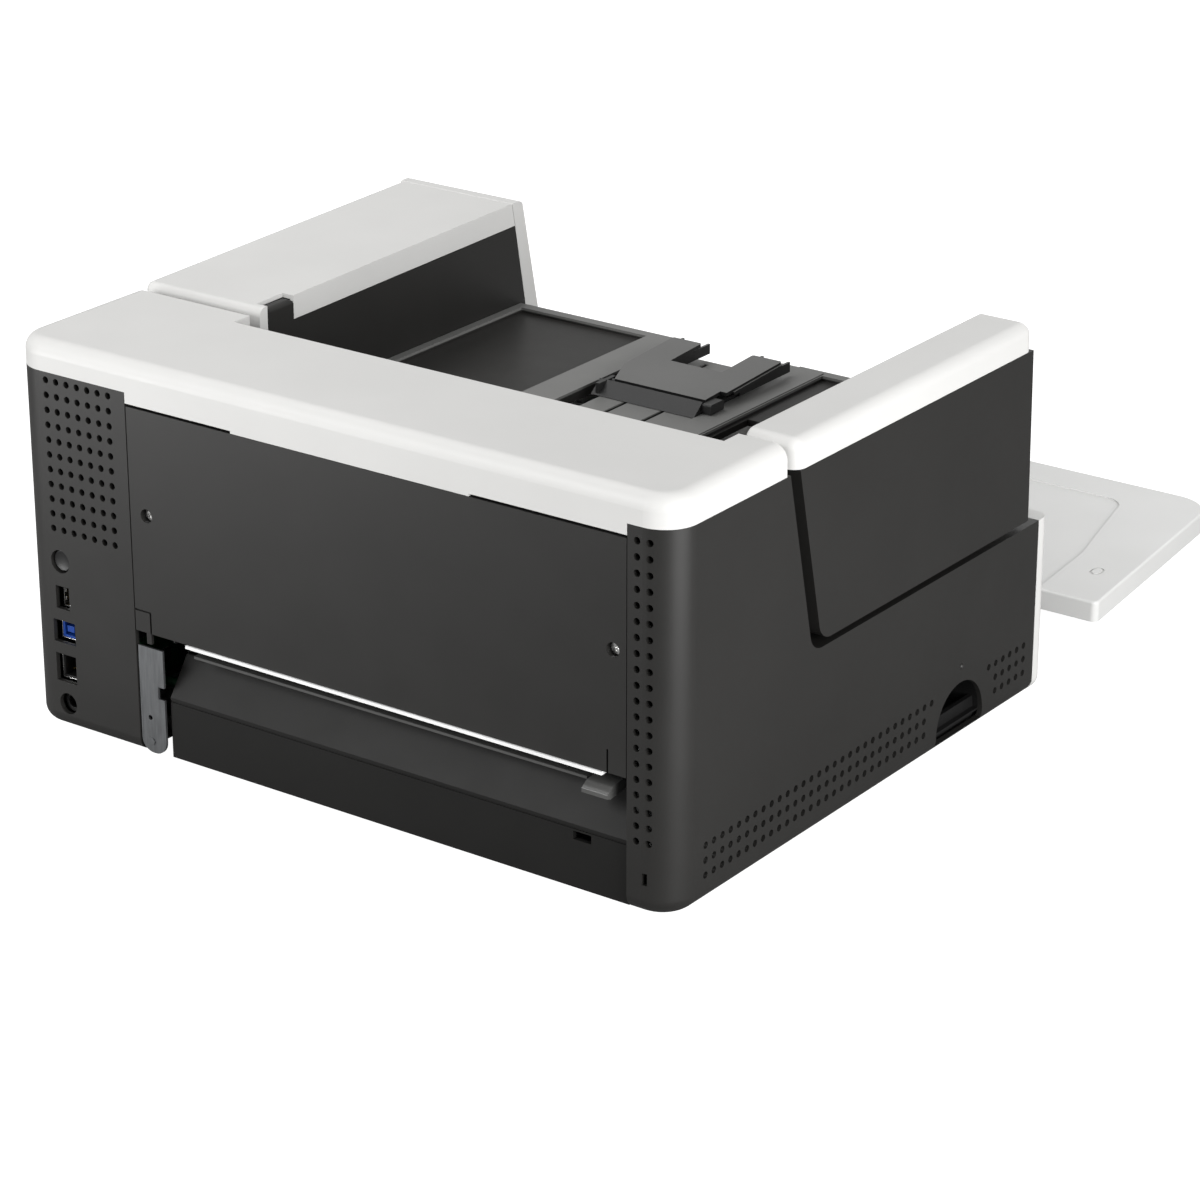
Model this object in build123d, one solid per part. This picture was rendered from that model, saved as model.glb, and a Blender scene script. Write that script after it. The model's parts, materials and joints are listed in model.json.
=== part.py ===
from build123d import *
import os
from math import cos, pi, radians, tan

# Sheet-fed document scanner. Millimetres; X runs across the machine, the front is -Y, +Z is up.
# The pieces are drawn from the middle of the body. As they are written they move forward to the
# origin, which is on the desk plane, in the middle of the whole length from the tray to the rear.

# ---- driving dimensions -------------------------------------------------------------------
HALF_W = 230.0            # half of the body width
REAR_Y = 187.5            # rear face
FRONT_Y = -189.0          # front end of the side panels
BEZEL_FRONT_Y = -202.0    # front face of the lower bezel
FOOT_H = 6.0              # height of the rubber feet
FOOT_R = 11.0
FOOT_CENTRES = [(x, y) for x in (-178.0, 178.0) for y in (-165.0, 146.0)]
SHELL_Z = 2.5             # lowest edge of the side panels
WALL = 3.0                # moulded wall thickness
CORNER_R = 20.0           # upright rear corners
COVER_Z = 223.0           # lower edge of the light covers
COVER_TOP = 241.0         # top of the rear cover
SEAM_Z = 113.0            # parting line between the body and the access cover
POD_BOTTOM = 116.8        # lowest edge of the access cover, above that line
SLANT = tan(radians(12.83))   # lean of the rear parting line

COL_L = -200.5            # inner edge of the left rear column
COL_R = 144.4             # inner edge of the right rear column
COLUMN_Y = 160.0          # seam between the right side panel and the rear column
POD_L = -196.0            # inner face of the left pod
POD_R = 141.0             # inner face of the right pod
POD_FRONT = -174.0
POD_REAR_TOP = 71.0       # rear edge of a pod at the light cover's lower edge
POD_TOP_L = 240.0
POD_TOP_R = 242.0         # rear end of the wide pod's top, which rises to the front
POD_TOP_RF = 246.5        # front end of that top
BEZEL_KNEE_Y, BEZEL_KNEE_Z = -181.0, 178.0   # where the wide pod's front seam starts to lean back
BEZEL_SEAM_TOP = -168.0   # top of that seam
BEZEL_TOP_Y, BEZEL_LOW_Y = -178.5, -194.5    # face of the wide pod's front, at its top and at its foot

XC = -28.0                # middle of the paper path
PLATE_OUT = 160.5         # outer face of a frame plate, from XC
PLATE_T = 2.0
GUIDE_HALF = 157.0        # half width of the paper guides
PATH_Z = 74.5             # straight paper path

LENGTH_MIDDLE = -148.25   # middle of the whole length, seen from the middle of the body

HINGE_Y, HINGE_Z = 108.0, 226.0
HINGE_R = 4.0
ARM_Z = 190.0             # height of the hinge arms inside the pods
ARM_SLOT_Z = 180.0        # foot of the slots that the arms swing in
RUN = 0.05                # radial running clearance

SHAFT_R = 3.0
TIRE_R = 12.0
LOWER_AXLE_Z = 62.0
UPPER_AXLE_Z = 86.0
PINCH_R = 11.0
FRONT_ROLLER_Y, MID_ROLLER_Y = -50.0, 50.0
SEPARATION_Y = -88.0
FEED_Y, FEED_Z, FEED_R = -118.0, 93.0, 13.0
FEED_REACH = 48.0
OUTPUT_Y, OUTPUT_Z, OUTPUT_R = 114.0, 190.0, 9.0
OUTPUT_PINCH_Z, OUTPUT_PINCH_R = 208.0, 8.5
DRIVE_TIRES = [-96, -32, 32, 96]     # middles of the tires on a shaft, from XC
SHAFT_BORES = [
    (SEPARATION_Y, LOWER_AXLE_Z), (FRONT_ROLLER_Y, LOWER_AXLE_Z), (MID_ROLLER_Y, LOWER_AXLE_Z),
    (OUTPUT_Y, OUTPUT_Z), (OUTPUT_Y, OUTPUT_PINCH_Z),
]
COVER_BORES = [(FRONT_ROLLER_Y, UPPER_AXLE_Z), (MID_ROLLER_Y, UPPER_AXLE_Z), (FEED_Y, FEED_Z)]
PULLEY_X = XC + PLATE_OUT + 1.2
PULLEY_W = 7.0
MOTOR_X, MOTOR_Y, MOTOR_Z = XC + PLATE_OUT + 10, 0.0, 30.0

DECK_Z = 180.0            # raised ribs of the output deck
DECK_FLOOR = 177.0        # sunk panels of the output deck
DECK_FRONT, DECK_REAR = -176.0, 84.0
RIBS = (-87.0, 37.0)      # outer edges of the two raised ribs
LANE = (-69.5, 15.0)      # inner edges of the two raised ribs
LANE_Z = 179.2            # floor of the lane between them
LANE_STRIPS = -2.0        # right edge of the strips that floor the lane
TRACKS = (-20.5, -47.2)   # slots that the stop's keys run in
TRACK_W = 3.0
NOTCH = (-54.0, 12.0)     # finger notch in the deck's front edge, under the stop
NOTCH_REAR, NOTCH_FOOT = -153.0, 164.0

STOP_X, STOP_HALF = -35.0, 39.3
STOP_FRONT = -148.5
STOP_TOP = 188.0          # top of the flap above its pin
STOP_PIN_Y, STOP_PIN_Z, STOP_PIN_R = -77.5, 184.8, 1.5
STOP_TILT = 3.0           # the flap rests a little higher at its front

LIFT_HALF = 149.0         # half width of the elevator platform
LIFT_Z0, LIFT_Z1 = 14.0, 19.0
ROD_Y, ROD_R = -150.0, 3.0
ROD_X = 154.0
TRAY_PIN_Y, TRAY_PIN_Z, TRAY_PIN_R = -217.0, 16.5, 2.0
TRAY_HALF = 150.0
KNUCKLE_R = 3.4
PLATFORM_KNUCKLES = [(-120, -100), (-10, 10), (100, 120)]
WING_HALF_REAR, WING_HALF_FRONT = 190.0, 168.0
WING_REAR, WING_FRONT = -289.0, -486.0
WING_Z0, WING_Z1 = 10.5, 24.0

VENT_R = 2.05
GATE_Y, GATE_Z, GATE_BAR_R = 167.0, 69.2, 1.8
BUTTON_X, BUTTON_Z, BUTTON_R = 200.6, 108.0, 6.6
PORT_X, PORT_FACE = 200.2, 183.0   # middle of the rear sockets, and their mouths behind the wall
BOARD_FACE = 190.2
GRIP_Y, GRIP_Z, GRIP_R = -105.0, 13.0, 25.8   # half-round grip pockets
GRIP_FOOT = 7.0
PANEL_SCREWS = [(131.9, 151.6), (-191.3, 150.5)]   # (x, z)

os.makedirs("parts", exist_ok=True)


# ---- shape helpers ------------------------------------------------------------------------
def block(x0, x1, y0, y1, z0, z1):
    """Box between two opposite corners."""
    centre = ((x0 + x1) / 2, (y0 + y1) / 2, (z0 + z1) / 2)
    return Pos(*centre) * Box(x1 - x0, y1 - y0, z1 - z0)


def rod_x(x0, x1, y, z, r):
    """Round bar along X."""
    return Pos((x0 + x1) / 2, y, z) * Rot(0, 90, 0) * Cylinder(r, x1 - x0)


def rod_y(x, y0, y1, z, r):
    """Round bar along Y."""
    return Pos(x, (y0 + y1) / 2, z) * Rot(90, 0, 0) * Cylinder(r, y1 - y0)


def rod_z(x, y, z0, z1, r):
    """Upright round bar."""
    return Pos(x, y, (z0 + z1) / 2) * Cylinder(r, z1 - z0)


def rounded(points, rounds):
    """Closed face through the points; rounds pairs a corner's number with its radius."""
    face = make_face(Polyline(*points, close=True))
    for number, radius in rounds:
        x, y = points[number]
        corner = face.vertices().sort_by_distance((x, y, 0))[0]
        face = fillet(corner, radius)
    return face


def prism_x(points, x0, x1, rounds=()):
    """(y, z) outline extruded across the machine."""
    return extrude(Plane.YZ.offset(x0) * rounded(points, rounds), x1 - x0)


def prism_z(points, z0, z1, rounds=()):
    """(x, y) outline extruded upwards."""
    return extrude(Plane.XY.offset(z0) * rounded(points, rounds), z1 - z0)


def edges_at(shape, z):
    """Edges that lie wholly at height z."""
    low = z - 0.01
    high = z + 0.01
    return shape.edges().filter_by(lambda e: low < e.bounding_box().min.Z and e.bounding_box().max.Z < high)


def mirrored(shape):
    return mirror(shape, Plane.YZ)


# ---- side panels --------------------------------------------------------------------------
def body_profile(inset):
    """(y, z) outline of the lower body seen from the side, moved inwards by inset; open at the top."""
    top = COVER_Z + inset
    shelf = SEAM_Z - inset
    lean = inset / cos(radians(12.83))
    step_y = 55.5 + lean
    return [
        (FRONT_Y, SHELL_Z - 1 + inset),
        (REAR_Y + 1, SHELL_Z - 1 + inset),
        (REAR_Y + 1, top),
        (step_y + (top - SEAM_Z) * SLANT, top),
        (step_y - inset * SLANT, shelf),
        (FRONT_Y, shelf),
    ]


def panel_block(x_in, x_out, inset):
    """Solid of one side of the body with its rounded rear corner and bottom edge."""
    side = x_out - inset
    rear = REAR_Y - inset
    bottom = SHELL_Z + inset
    solid = block(x_in, side, FRONT_Y, rear, bottom, COVER_Z)
    upright = solid.edges().filter_by(Axis.Z).sort_by_distance((side, rear, 100))[0]
    solid = fillet(upright, CORNER_R - inset)
    rim = [e for e in edges_at(solid, bottom) if e.distance_to(Vertex(side, rear, bottom)) < CORNER_R]
    return fillet(rim, 9.0 - inset)


def side_panel(x_in, x_out):
    """Hollow moulding on the +X side: side wall, seam shelf, leaning rear wall and rear column."""
    outer = panel_block(x_in, x_out, 0) & prism_x(body_profile(0), x_in, x_out, [(0, 9), (4, 12)])
    inner = panel_block(x_in - 1, x_out, WALL)
    inner &= prism_x(body_profile(WALL), x_in - 1, x_out, [(4, 12)])
    return outer - inner


def vent(x, z):
    """Cutter for one round vent in the rear wall."""
    return rod_y(x, REAR_Y - 6, REAR_Y + 2, z, VENT_R)


def side_vents():
    """Cutters for the three rows of vents along the foot of a +X side wall."""
    cutters = []
    for row, z in enumerate((37.0, 28.2, 19.4)):
        short = min(row, 1)
        rear_group = [156.5 - 7.91 * k for k in range(30 - short)]
        front_group = [-137.0 - 8.05 * k for k in range(short, 6)]
        for y in rear_group + front_group:
            cutters.append(rod_x(HALF_W - 6, HALF_W + 2, y, z, VENT_R))
    return cutters


def grip_outline(x0, x1, foot, grow=0.0):
    """Half-round grip pocket, straight-sided below its middle, as a solid from x0 to x1."""
    r = GRIP_R + grow
    round_top = rod_x(x0, x1, GRIP_Y, GRIP_Z, r) & block(x0, x1, GRIP_Y - r, GRIP_Y + r, GRIP_Z, GRIP_Z + r)
    return round_top + block(x0, x1, GRIP_Y - r, GRIP_Y + r, foot, GRIP_Z)


def grip_cutters():
    """The pocket's mouth in a +X side wall, and the small dimple above it."""
    mouth = grip_outline(HALF_W - 6, HALF_W + 2, GRIP_FOOT)
    dimple = Pos(HALF_W + 1.0, GRIP_Y, 48.9) * Sphere(2.2)
    return [mouth, dimple]


def left_side_panel():
    panel = side_panel(-COL_L, HALF_W) - side_vents() - grip_cutters()
    panel += block(-COL_L - 11, -COL_L, FRONT_Y, 50, SEAM_Z - WALL, SEAM_Z)
    panel = mirrored(panel)
    columns = [vent(x, 215 - 8.95 * k) for x in (-206.6, -214.2) for k in range(20)]
    lock_slot = block(-213.6, -210.4, REAR_Y - 6, REAR_Y + 2, 20.2, 27.2)
    arm_slot = block(-208.7, -203.7, 55, 90, ARM_SLOT_Z, COVER_Z - 3)
    return panel - columns - [lock_slot, arm_slot]


def right_side_panel():
    panel = side_panel(COL_R, HALF_W) - side_vents() - grip_cutters()
    panel += block(COL_R - 11, COL_R, FRONT_Y, 50, SEAM_Z - WALL, SEAM_Z)
    arm_slot = block(146.2, 151.2, 55, 90, ARM_SLOT_Z, COVER_Z - 3)
    feet_holes = [rod_z(x, y, 0, 8, FOOT_R + 0.5) for x, y in FOOT_CENTRES]
    behind_seam = block(0, 300, COLUMN_Y - 0.4, 300, 0, 300)
    return panel - feet_holes - [arm_slot, behind_seam]


def right_rear_column():
    """Rear column beside the wide pod: vent grid, power button, sockets."""
    column = side_panel(COL_R, HALF_W) & block(0, 300, COLUMN_Y, 300, 0, 300)
    grid = [vent(204.2 - 7.9 * i, 218.2 - 9 * k) for i in range(7) for k in range(11)]
    wall = (REAR_Y - 6, REAR_Y + 2)
    ports = [
        rod_y(BUTTON_X, *wall, BUTTON_Z, BUTTON_R + 0.5),
        block(PORT_X - 5.2, PORT_X + 5.2, *wall, 78.4, 92.6),
        block(PORT_X - 8.4, PORT_X + 8.4, *wall, 57.0, 71.0),
        block(PORT_X - 7.8, PORT_X + 7.8, *wall, 32.3, 49.8),
        rod_y(PORT_X, *wall, 18.6, 6.6),
    ]
    return column - grid - ports


def handle_cup():
    """Cup behind the grip pocket of the +X side wall, with a lip that closes the mouth's lower half."""
    skin = 2.5
    back, mouth = HALF_W - WALL - 26, HALF_W - WALL
    outer = grip_outline(back, mouth, GRIP_Z - 1.4, skin)
    hollow = grip_outline(back + skin, mouth + 1, GRIP_Z - 0.1)
    lip = grip_outline(mouth - 6.5, mouth - 3.5, GRIP_FOOT + 0.5) & block(0, 300, -200, 0, 0, 20)
    return outer - hollow + lip


def handle_cups():
    return Compound([handle_cup(), mirrored(handle_cup())])


# ---- rear of the body ---------------------------------------------------------------------
def rear_cover_block(inset):
    """Solid of the light rear cover; its two ends reach further forward than its middle."""
    side, rear, front, step = HALF_W - inset, REAR_Y - inset, 98 + inset, 84 + inset
    points = [
        (-side, step), (-side, rear), (side, rear), (side, step),
        (POD_R - 1 + inset, step), (POD_R - 1 + inset, front),
        (POD_L - 3 - inset, front), (POD_L - 3 - inset, step),
    ]
    rounds = [(1, CORNER_R - inset), (2, CORNER_R - inset)]
    top = COVER_TOP - inset
    solid = prism_z(points, COVER_Z - inset * 2, top, rounds)
    rim = edges_at(solid, top)
    outer = [e for e in rim if e.center().Y > 180 - inset or abs(e.center().X) > side - 8]
    return fillet(outer, 9.0 - inset)


def rear_top_cover():
    shell = rear_cover_block(0) - rear_cover_block(2.6)
    skirt = block(COL_L + 0.3, COL_R - 0.3, REAR_Y - 2.6, REAR_Y, 216.5, COVER_Z + 1)
    finger_lip = block(-98, 66.7, REAR_Y - 2.6, REAR_Y, 215.0, 217)
    return shell + skirt + finger_lip


def rear_panel():
    """Screwed charcoal panel between the columns, with a snap tab at each lower corner."""
    low, face = 79.5, REAR_Y - 0.2
    panel = block(COL_L + 0.6, COL_R - 0.6, REAR_Y - WALL, face, low, 214.7)
    panel += block(133, 136.5, REAR_Y - WALL, face - 0.8, 72.5, low)
    grooves = [block(x - 0.6, x + 0.6, face - 1.4, face + 1, low - 1, 93) for x in (132.3, -187.8)]
    grooves.append(block(132.3, COL_R, face - 1.4, face + 1, 91.9, 93.1))
    for x, z in PANEL_SCREWS:
        panel += rod_y(x, REAR_Y - 8, REAR_Y - WALL, z, 6.5)
        panel -= rod_y(x, REAR_Y - 5.6, REAR_Y + 1, z, 4.2)
        panel -= rod_y(x, REAR_Y - 9, REAR_Y, z, 1.8)
    return panel - grooves


def panel_screws():
    """Cross-head screws sunk in the rear panel's bosses."""
    screws = []
    for x, z in PANEL_SCREWS:
        head = rod_y(x, REAR_Y - 5.5, REAR_Y - 3.6, z, 3.4)
        drive = block(x - 2, x + 2, REAR_Y - 4.5, REAR_Y, z - 0.4, z + 0.4)
        cross = block(x - 0.4, x + 0.4, REAR_Y - 4.5, REAR_Y, z - 2, z + 2)
        screws.append(head + rod_y(x, REAR_Y - 13, REAR_Y - 5.4, z, 1.6) - drive - cross)
    return Compound(screws)


def exit_lip():
    """Bright moulded lip along the foot of the rear panel, above the straight exit."""
    return block(-184.8, 105.8, REAR_Y - 4, REAR_Y + 0.8, 77.4, 79.3)


def rear_base_cover():
    """Sloping ramp below the straight exit and the upright cover under it, closed at its ends."""
    right = 122.6
    bend = [(166, 63.6), (168.5, 63.6), (184, 41.5), (184, 4), (181, 4), (181, 40.8)]
    cheek = [(166, 63.6), (168.5, 63.6), (184, 41.5), (184, 4), (166, 4)]
    cover = prism_x(bend, COL_L + 0.5, right)
    for x0 in (COL_L + 0.5, right - 2):
        cover += prism_x(cheek, x0, x0 + 2)
    groove = block(COL_L, COL_R, 183.3, 186, 38.6, 39.8)
    latch_slot = block(-175, -163, 180, 186, 32.5, 37.5)
    bearings = [block(x, x + 3.2, 162.5, 170.5, 62, 73.4) for x in (-194, 109)]
    pivot = rod_x(-200, 115, GATE_Y, GATE_Z, GATE_BAR_R + RUN)
    return (cover + bearings) - groove - latch_slot - pivot


def frame_bracket():
    """Bare steel strip that stands between the ramp and the right rear column."""
    x0, x1, y0, y1 = 125.0, COL_R - 0.9, REAR_Y - 2.3, REAR_Y - 0.8
    strip = block(x0, x1, y0, y1, 4.4, 70.2)
    strip = fillet(strip.edges().filter_by(Axis.Y).group_by(Axis.Z)[0], 8.5)
    strip -= block(x0 - 1, x0 + 4.6, y0 - 1, y1 + 1, 39.5, 47)
    strip -= rod_y(136.5, y0 - 1, y1 + 1, 26.3, 1.5)
    return strip + rod_y(136.0, y0, y1 + 0.6, 11.5, 2.3)


def output_slot_panel():
    """Dark front wall of the rear housing, below and above the slot that sheets leave through."""
    span = (COL_L + 1.5, POD_R + 2.4, 98.2, 101)
    return Compound([block(*span, 156, 192.5), block(*span, 206, COVER_Z - 0.5)])


def turn_guide_inner():
    """Hollow guide that the sheet turns up around, on its way to the output slot."""
    outer = prism_x([(118, 84), (156, 84), (156, 178), (118, 178)], XC - 152, XC + 152,
                    [(0, 6), (1, 18), (2, 18), (3, 6)])
    inner = prism_x([(120, 86), (154, 86), (154, 176), (120, 176)], XC - 153, XC + 153,
                    [(0, 4), (1, 16), (2, 16), (3, 4)])
    return outer - inner


def turn_guides():
    """The inner guide and the curved guide behind the rear panel that faces it."""
    return Compound([turn_guide_inner(), turn_guide_outer()])


def turn_guide_outer():
    """Curved guide behind the rear panel."""
    outer = [(169, 96), (169, 208), (134, 208), (134, 206), (167, 206), (167, 96)]
    return prism_x(outer, XC - 152, XC + 152, [(1, 26), (4, 24)])


# ---- frame --------------------------------------------------------------------------------
def base_pan():
    pan = block(-196, 196, -186, 160, FOOT_H + 0.5, FOOT_H + 9)
    pan -= block(-194, 194, -184, 158, FOOT_H + 3, FOOT_H + 10)
    pan -= block(XC - 152, XC + 152, -190, -183, FOOT_H + 3, FOOT_H + 10)
    bay_wall = block(XC - 156, XC + 156, -94, -91.5, FOOT_H + 2, 58)
    pan += bay_wall - block(XC - 32, XC + 32, -95, -90, 46, 61)
    return pan - [rod_z(x, y, 0, 20, 3.1) for x, y in FOOT_CENTRES]


def feet():
    """Rubber feet with a stem pushed up through the base pan."""
    pads = []
    for x, y in FOOT_CENTRES:
        pad = rod_z(x, y, 0, FOOT_H + 0.3, FOOT_R)
        pads.append(pad + rod_z(x, y, FOOT_H, FOOT_H + 6, 3.0))
    return Compound(pads)


def frame_plate(x0):
    """Steel side plate that carries the shafts; low at the front, tall under the rear cover."""
    points = [
        (-180, FOOT_H + 3.1), (157, FOOT_H + 3.1), (157, 84), (172, 96), (172, 234),
        (101.2, 234), (101.2, 150), (62, 108), (-180, 108),
    ]
    plate = prism_x(points, x0, x0 + PLATE_T, [(4, 12), (6, 10), (7, 10)])
    bores = [rod_x(x0 - 1, x0 + PLATE_T + 1, y, z, SHAFT_R + 2.5) for y, z in SHAFT_BORES]
    windows = [
        block(x0 - 1, x0 + PLATE_T + 1, 118, 158, 90, 170),
        block(x0 - 1, x0 + PLATE_T + 1, -20, 20, 20, 45),
    ]
    hinge = rod_x(x0 - 1, x0 + PLATE_T + 1, HINGE_Y, HINGE_Z, HINGE_R)
    return plate - bores - windows - [hinge]


def frame_plate_left():
    return frame_plate(XC - PLATE_OUT)


def frame_plate_right():
    return frame_plate(XC + PLATE_OUT - PLATE_T)


def shaft_bushes():
    """Plain bushes in the frame plates, one at each end of each shaft."""
    bushes = []
    for x0 in (XC - PLATE_OUT - 0.5, XC + PLATE_OUT - PLATE_T - 0.5):
        for y, z in SHAFT_BORES:
            ring = rod_x(x0, x0 + PLATE_T + 1, y, z, SHAFT_R + 2.5)
            bushes.append(ring - rod_x(x0 - 1, x0 + PLATE_T + 2, y, z, SHAFT_R + RUN))
    return Compound(bushes)


def hinge_pins():
    """Headed pins riveted in the frame plates, which the access cover turns on."""
    left = rod_x(-208, XC - PLATE_OUT + PLATE_T, HINGE_Y, HINGE_Z, HINGE_R)
    left += rod_x(-210, -208, HINGE_Y, HINGE_Z, 6.5)
    right = rod_x(XC + PLATE_OUT - PLATE_T, 151.5, HINGE_Y, HINGE_Z, HINGE_R)
    right += rod_x(151.5, 153.5, HINGE_Y, HINGE_Z, 6.5)
    return Compound([left, right])


def guide_rods():
    """Upright rods that the elevator rides on."""
    return Compound([rod_z(XC + s * ROD_X, ROD_Y, FOOT_H + 3.1, 86, ROD_R) for s in (-1, 1)])


def lower_paper_guide():
    """Ribbed plate under the straight paper path, with openings for rollers and glass."""
    plate = block(XC - GUIDE_HALF, XC + GUIDE_HALF, -78, 161, PATH_Z - 4, PATH_Z - 1.2)
    for x in (XC - GUIDE_HALF, XC + GUIDE_HALF - 1.2):
        plate += block(x, x + 1.2, -74, 156, PATH_Z - 14, PATH_Z - 3.9)
    windows = [
        block(XC - 125, XC + 125, y - 14, y + 14, 50, 80) for y in (FRONT_ROLLER_Y, MID_ROLLER_Y)
    ]
    glass = block(XC - 151, XC + 151, -15.5, 10.5, 50, 80)
    shafts = [
        rod_x(XC - 160, XC + 160, y, LOWER_AXLE_Z, SHAFT_R + 1) for y in (FRONT_ROLLER_Y, MID_ROLLER_Y)
    ]
    return plate - windows - glass - shafts


def image_module(y0, y1, z0, z1, sign):
    """Camera housing of one page side; sign tells on which side the glass sits."""
    housing = block(XC - 150, XC + 150, y0, y1, z0, z1)
    face = z1 if sign > 0 else z0
    recess = block(XC - 148, XC + 148, y0 + 2, y1 - 2, face - 2.0, face + 2.0)
    light_trough = block(XC - 145, XC + 145, y0 + 4, y1 - 4, face - 9.0, face + 9.0)
    return housing - recess - light_trough


def lower_image_module():
    return image_module(-15, 10, 34, PATH_Z - 1.4, 1)


def upper_image_module():
    return image_module(-1, 24, PATH_Z + 1.9, 110, -1)


def module_glass(y0, y1, z0, z1):
    return block(XC - 147.8, XC + 147.8, y0 + 2.2, y1 - 2.2, z0, z1)


def lower_glass():
    return module_glass(-15, 10, PATH_Z - 3.3, PATH_Z - 1.4)


def upper_glass():
    return module_glass(-1, 24, PATH_Z + 1.9, PATH_Z + 3.8)


# ---- rollers ------------------------------------------------------------------------------
def roller_shaft(y, z, reach_l, reach_r, r=SHAFT_R):
    return rod_x(XC - reach_l, XC + reach_r, y, z, r)


def tires(y, z, radius, centres, width, shaft_r=SHAFT_R):
    """Rubber tires as separate rings on one shaft."""
    rings = []
    for x in centres:
        ring = rod_x(XC + x - width / 2, XC + x + width / 2, y, z, radius)
        rings.append(ring - rod_x(XC + x - width, XC + x + width, y, z, shaft_r))
    return Compound(rings)


def pulley_radius(teeth):
    """Radius under the teeth of a pulley of 2 mm pitch."""
    return teeth * 2.0 / (2 * pi)


def toothed_pulley(x0, width, y, z, teeth, bore_r):
    """Small belt pulley with square teeth between two flanges."""
    root = pulley_radius(teeth)
    wheel = rod_x(x0 + 1, x0 + width - 1, y, z, root)
    for k in range(teeth):
        turn = Pos(x0 + width / 2, y, z) * Rot(360 / teeth * k, 0, 0)
        wheel += turn * Pos(0, root, 0) * Box(width - 2, 1.0, 0.9)
    wheel += rod_x(x0, x0 + 1, y, z, root + 1.6) + rod_x(x0 + width - 1, x0 + width, y, z, root + 1.6)
    return wheel - rod_x(x0 - 1, x0 + width + 1, y, z, bore_r)


def driven_shaft(y, z):
    """Roller shaft with the belt pulley pinned on its right end."""
    shaft = roller_shaft(y, z, PLATE_OUT + 1, PLATE_OUT + 9)
    return shaft + toothed_pulley(PULLEY_X, PULLEY_W, y, z, 24, 2)


def front_roller_shaft():
    return driven_shaft(FRONT_ROLLER_Y, LOWER_AXLE_Z)


def front_roller_tires():
    return tires(FRONT_ROLLER_Y, LOWER_AXLE_Z, TIRE_R, DRIVE_TIRES, 26)


def mid_roller_shaft():
    return driven_shaft(MID_ROLLER_Y, LOWER_AXLE_Z)


def mid_roller_tires():
    return tires(MID_ROLLER_Y, LOWER_AXLE_Z, TIRE_R, DRIVE_TIRES, 26)


def moulded_roller(y, z, radius, centres, width, reach):
    """Roller moulded in one piece with its shaft."""
    return roller_shaft(y, z, reach, reach) + tires(y, z, radius, centres, width, SHAFT_R - 0.5).solids()


def output_roller():
    return moulded_roller(OUTPUT_Y, OUTPUT_Z, OUTPUT_R, DRIVE_TIRES, 20, PLATE_OUT + 1)


def output_pinch_roller():
    return moulded_roller(OUTPUT_Y, OUTPUT_PINCH_Z, OUTPUT_PINCH_R, DRIVE_TIRES, 20, PLATE_OUT + 1)


def separation_roller():
    return moulded_roller(SEPARATION_Y, LOWER_AXLE_Z, TIRE_R, [-16, 16], 24, PLATE_OUT + 1)


def drive_motor():
    """Stepper motor's can, bolted beside the right frame plate, with its mounting posts."""
    can = rod_x(MOTOR_X, MOTOR_X + 34, MOTOR_Y, MOTOR_Z, 20)
    can -= rod_x(MOTOR_X + 2.5, MOTOR_X + 31.5, MOTOR_Y, MOTOR_Z, 16)
    flange = block(MOTOR_X, MOTOR_X + 2.5, MOTOR_Y - 27, MOTOR_Y + 27, MOTOR_Z - 9, MOTOR_Z + 9)
    posts = [rod_x(XC + PLATE_OUT, MOTOR_X, MOTOR_Y + s * 23, MOTOR_Z, 2.5) for s in (-1, 1)]
    return (can + flange + posts) - rod_x(MOTOR_X - 2, MOTOR_X + 40, MOTOR_Y, MOTOR_Z, 2 + RUN)


def motor_pulley():
    """Pulley on the motor's shaft, with the rotor that turns inside the can."""
    pulley = toothed_pulley(PULLEY_X, PULLEY_W, MOTOR_Y, MOTOR_Z, 16, 1.0)
    pulley += rod_x(PULLEY_X, MOTOR_X + 34, MOTOR_Y, MOTOR_Z, 2)
    return pulley + rod_x(MOTOR_X + 4, MOTOR_X + 30, MOTOR_Y, MOTOR_Z, 15)


def drive_belt():
    """Toothed belt round the motor pulley and the two drive roller pulleys."""
    big = pulley_radius(24) + 1.0
    small = pulley_radius(16) + 1.0
    wheels = [
        (FRONT_ROLLER_Y, LOWER_AXLE_Z, big), (MID_ROLLER_Y, LOWER_AXLE_Z, big), (MOTOR_Y, MOTOR_Z, small),
    ]

    def filled(extra):
        circles = [Pos(y, z) * Circle(r + extra) for y, z, r in wheels]
        outline = make_hull([edge for circle in circles for edge in circle.edges()])
        return extrude(Plane.YZ.offset(PULLEY_X + 1.2) * outline, PULLEY_W - 2.4)

    return filled(1.4) - filled(0.0)


# ---- access cover -------------------------------------------------------------------------
def pod_profile(inset, front):
    """(y, z) outline of a pod seen from the side; front lists its front edge's points, top first."""
    low = POD_BOTTOM + inset
    top = COVER_Z - 0.3
    rear_low = POD_REAR_TOP - (COVER_Z - POD_BOTTOM) * SLANT
    lean = inset / cos(radians(12.83))
    rear = [(rear_low - lean + inset * SLANT, low), (POD_REAR_TOP - lean, top + inset * 4)]
    edge = [(y + inset, z) for y, z in front]
    edge[0] = (edge[0][0], top + inset * 4)
    return [(edge[-1][0], low)] + rear + edge


def pod_housing(x0, x1, front):
    """Charcoal pod box: side, inner, front, rear walls and floor, open at the top."""
    outer = prism_x(pod_profile(0, front), x0, x1, [(1, 12)])
    inner = prism_x(pod_profile(2.5, front), x0 + 2.5, x1 - 2.5, [(1, 10)])
    return outer - (inner & block(x0, x1, -300, 300, 0, COVER_Z + 20))


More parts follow.
